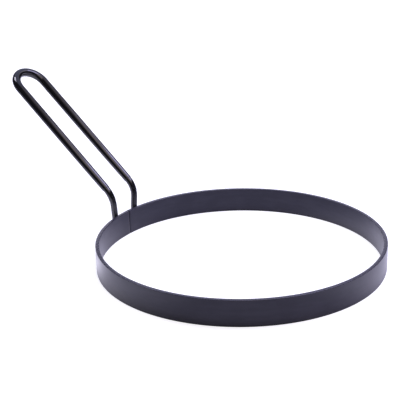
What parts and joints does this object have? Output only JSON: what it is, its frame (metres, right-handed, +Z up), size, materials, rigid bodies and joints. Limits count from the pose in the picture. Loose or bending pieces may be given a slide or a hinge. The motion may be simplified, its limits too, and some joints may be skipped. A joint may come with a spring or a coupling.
{
  "type": "egg ring",
  "caption": "Round cooking ring of coated steel strip with an upswept bent-wire handle in a glossy vinyl sleeve, for shaping eggs or pancakes in a pan.",
  "frame": {"origin": "on the surface that the hoop stands on, under the middle of the whole outline: 50.1 mm from the hoop's own axis, towards the handle", "axes": "+Z up, out of the hoop's open top; +Y from the hoop towards the handle's loop, in the plane that mirrors the object; +X to the right, across the handle"},
  "size_m": [0.203, 0.3032, 0.1158],
  "materials": {
    "hoop_coat": "satin charcoal non-stick coating on steel strip",
    "weld_coat": "the same coating over rippled weld metal",
    "wire_enamel": "satin black enamel on steel wire",
    "grip_vinyl": "high-gloss black dipped vinyl"
  },
  "bodies": {
    "root": {"hoop_strip": "hoop_coat", "seam_weld": "weld_coat", "handle_wire": "wire_enamel", "grip_sleeve": "grip_vinyl", "left_leg_inner_weld": "weld_coat", "left_leg_outer_weld": "weld_coat", "right_leg_inner_weld": "weld_coat", "right_leg_outer_weld": "weld_coat"}
  },
  "joints": []
}
